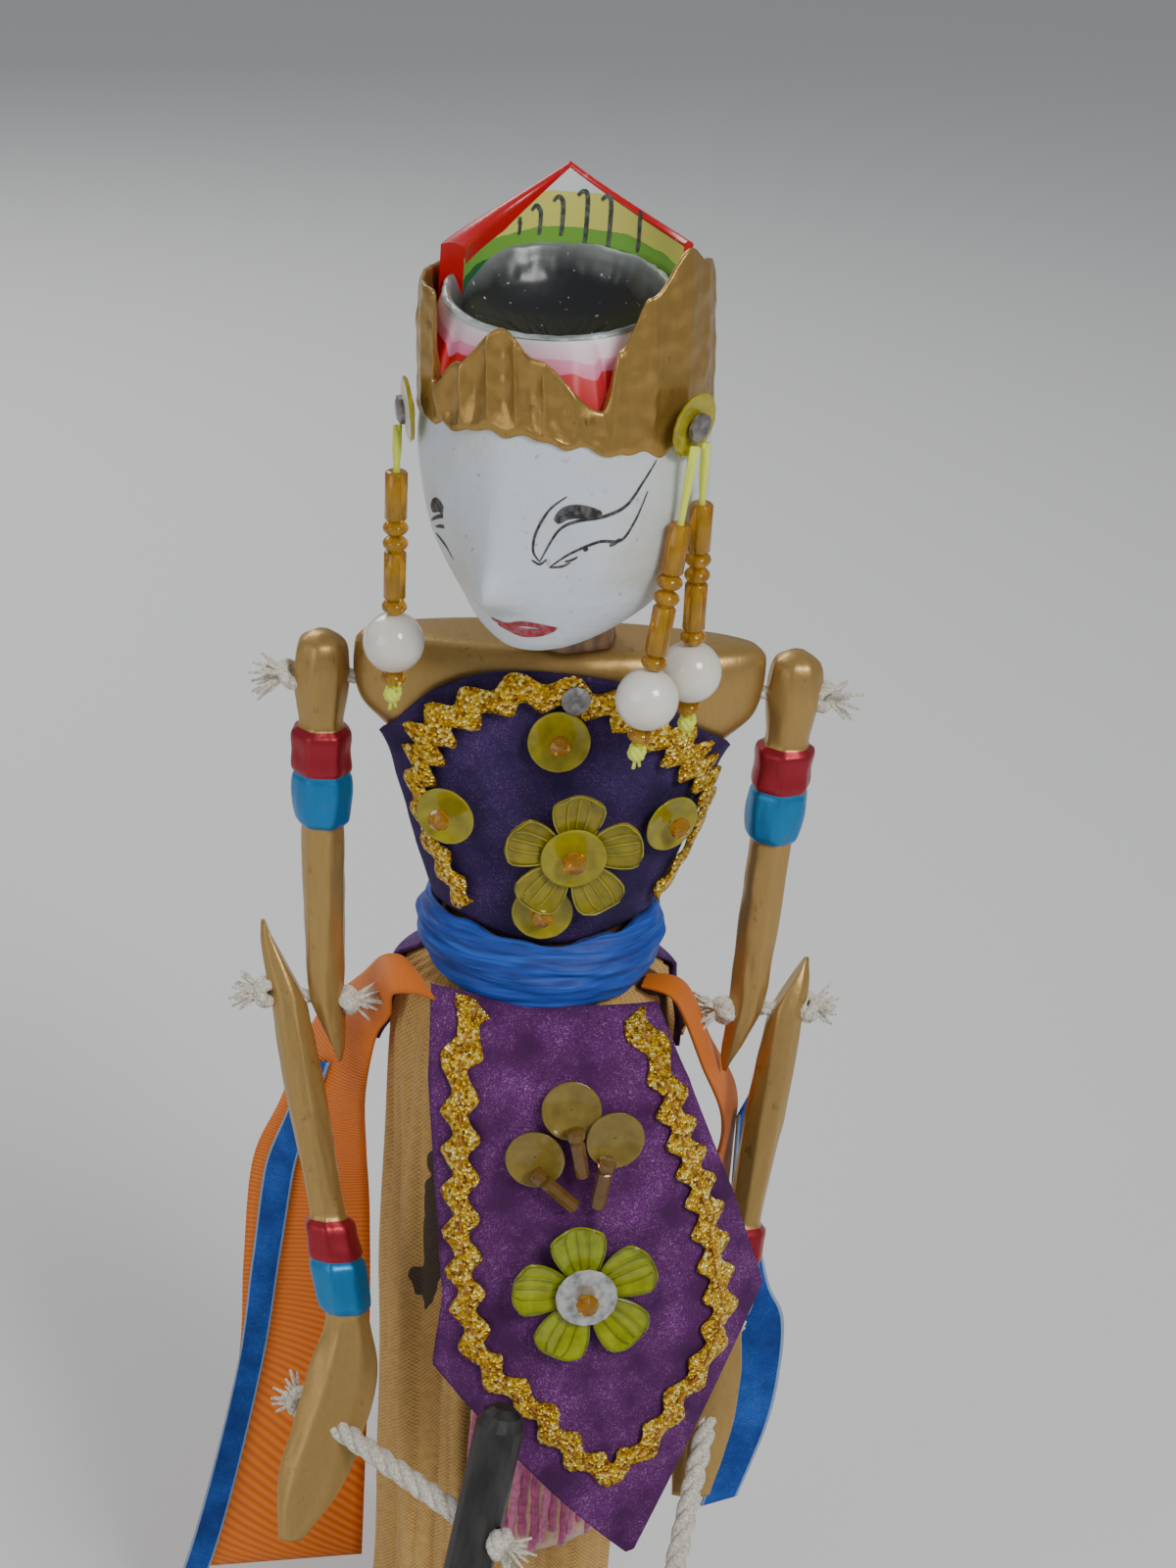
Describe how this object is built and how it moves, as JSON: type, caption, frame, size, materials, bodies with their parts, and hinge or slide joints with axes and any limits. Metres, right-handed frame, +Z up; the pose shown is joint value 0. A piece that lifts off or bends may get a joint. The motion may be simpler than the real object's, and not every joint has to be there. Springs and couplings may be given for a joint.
{
  "type": "rod puppet",
  "caption": "Carved and painted wooden rod puppet with jointed arms, a crowned turning head and a layered cloth costume, standing on a round block.",
  "frame": {"origin": "centre of the stand block's underside, on the central rod's axis", "axes": "+Z up along the rod, the puppet faces -Y, +X is the puppet's own left"},
  "size_m": [0.0948, 0.0937, 0.2528],
  "materials": {
    "stand_wood": "plain dark-stained turned wood",
    "rod_wood": "bare whittled wood, darkened by handling",
    "head_paint": "carved wood, matte white paint on the face, gold-bronze and coloured paint on the crown",
    "torso_wood": "carved wood under worn gold-bronze paint",
    "arm_paint": "carved wood under worn gold-bronze paint with crimson and sky-blue bands",
    "black_wood": "whittled wood painted black, worn at the edges",
    "cotton_cord": "twisted off-white cotton cord with frayed knots",
    "batik_cloth": "coarse tan cotton with dark stamped motifs",
    "blue_satin": "crinkled royal-blue satin",
    "plum_velvet": "plum velvet",
    "indigo_velvet": "dark indigo velvet",
    "purple_velvet": "purple velvet",
    "gold_braid": "glittering gold wavy braid",
    "magenta_fringe": "shiny magenta fringe",
    "orange_ribbon": "ribbed orange ribbon",
    "blue_ribbon": "blue velvet ribbon",
    "nail_steel": "dull steel nail head",
    "yellow_sequin": "clear yellow cup sequin",
    "olive_sequin": "faceted olive-yellow sequin",
    "clear_sequin": "clear flower sequin",
    "green_sequin": "yellow-green flower sequin",
    "silver_sequin": "silver-grey sequin",
    "brown_sequin": "antique brown sequin",
    "amber_bead": "amber seed bead",
    "brown_bead": "brown seed bead and bugle bead",
    "earring_beads": "amber bugles, seed beads and a pearl on neon-yellow thread"
  },
  "bodies": {
    "stand": {"stand_block": "stand_wood"},
    "puppet": {"torso": "torso_wood", "shoulder_cord_right": "cotton_cord", "shoulder_cord_left": "cotton_cord", "skirt": "batik_cloth", "waist_sash": "blue_satin", "bodice_panel": "indigo_velvet", "bodice_braid": "gold_braid", "bodice_tack": "nail_steel", "chest_sequin_upper": "olive_sequin", "chest_bead_upper": "amber_bead", "chest_sequin_left": "olive_sequin", "chest_bead_left": "amber_bead", "chest_sequin_right": "olive_sequin", "chest_bead_right": "amber_bead", "chest_sequin_waist": "olive_sequin", "chest_bead_waist": "amber_bead", "chest_flower": "clear_sequin", "chest_flower_bead": "amber_bead", "apron_panel": "plum_velvet", "apron_braid": "gold_braid", "apron_sequin_1": "brown_sequin", "apron_drop_1": "brown_bead", "apron_sequin_2": "brown_sequin", "apron_drop_2": "brown_bead", "apron_sequin_3": "brown_sequin", "apron_drop_3": "brown_bead", "apron_flower": "green_sequin", "apron_flower_disc": "silver_sequin", "apron_flower_bead": "amber_bead", "fringe": "magenta_fringe", "back_panel": "purple_velvet", "back_braid": "gold_braid", "orange_ribbon_left": "orange_ribbon", "orange_ribbon_right": "orange_ribbon", "blue_ribbon_left": "blue_ribbon", "blue_ribbon_right": "blue_ribbon"},
    "head": {"central_rod": "rod_wood", "head": "head_paint", "ear_sequin_left": "yellow_sequin", "ear_nail_left": "nail_steel", "earring_strand_left_front": "earring_beads", "earring_strand_left_rear": "earring_beads", "ear_sequin_right": "yellow_sequin", "ear_nail_right": "nail_steel", "earring_strand_right_front": "earring_beads"},
    "upper_arm_left": {"upper_arm_left": "arm_paint", "elbow_cord_left": "cotton_cord"},
    "forearm_left": {"forearm_left": "arm_paint", "hand_cord_left": "cotton_cord"},
    "control_rod_left": {"control_rod_left": "black_wood"},
    "upper_arm_right": {"upper_arm_right": "arm_paint", "elbow_cord_right": "cotton_cord"},
    "forearm_right": {"forearm_right": "arm_paint", "hand_cord_right": "cotton_cord"},
    "control_rod_right": {"control_rod_right": "black_wood"}
  },
  "joints": [
    {"name": "puppet_lift", "type": "slide", "parent": "stand", "child": "puppet", "axis": [0, 0, 1], "range_m": [0, 0.03]},
    {"name": "head_turn", "type": "hinge", "parent": "puppet", "child": "head", "pos_m": [0, 0, 0.195], "axis": [0, 0, 1], "range_deg": [-6, 16]},
    {"name": "shoulder_left", "type": "hinge", "parent": "puppet", "child": "upper_arm_left", "pos_m": [0.0312, 0, 0.187], "axis": [1, 0, 0], "range_deg": [-70, 2]},
    {"name": "elbow_left", "type": "hinge", "parent": "upper_arm_left", "child": "forearm_left", "pos_m": [0.03555, -0.00168, 0.13903], "axis": [1, 0, 0], "range_deg": [-50, 3]},
    {"name": "rod_swing_left", "type": "hinge", "parent": "forearm_left", "child": "control_rod_left", "pos_m": [0.0204, -0.0458, 0.0665], "axis": [-0.2274, -0.7639, -0.6039], "range_deg": [-12, 12]},
    {"name": "shoulder_right", "type": "hinge", "parent": "puppet", "child": "upper_arm_right", "pos_m": [-0.0312, 0, 0.187], "axis": [1, 0, 0], "range_deg": [-70, 2]},
    {"name": "elbow_right", "type": "hinge", "parent": "upper_arm_right", "child": "forearm_right", "pos_m": [-0.03431, -0.00168, 0.13903], "axis": [1, 0, 0], "range_deg": [-50, 3]},
    {"name": "rod_swing_right", "type": "hinge", "parent": "forearm_right", "child": "control_rod_right", "pos_m": [-0.0062, -0.044, 0.083], "axis": [0.7125, -0.7013, 0.0251], "range_deg": [-12, 12]}
  ]
}
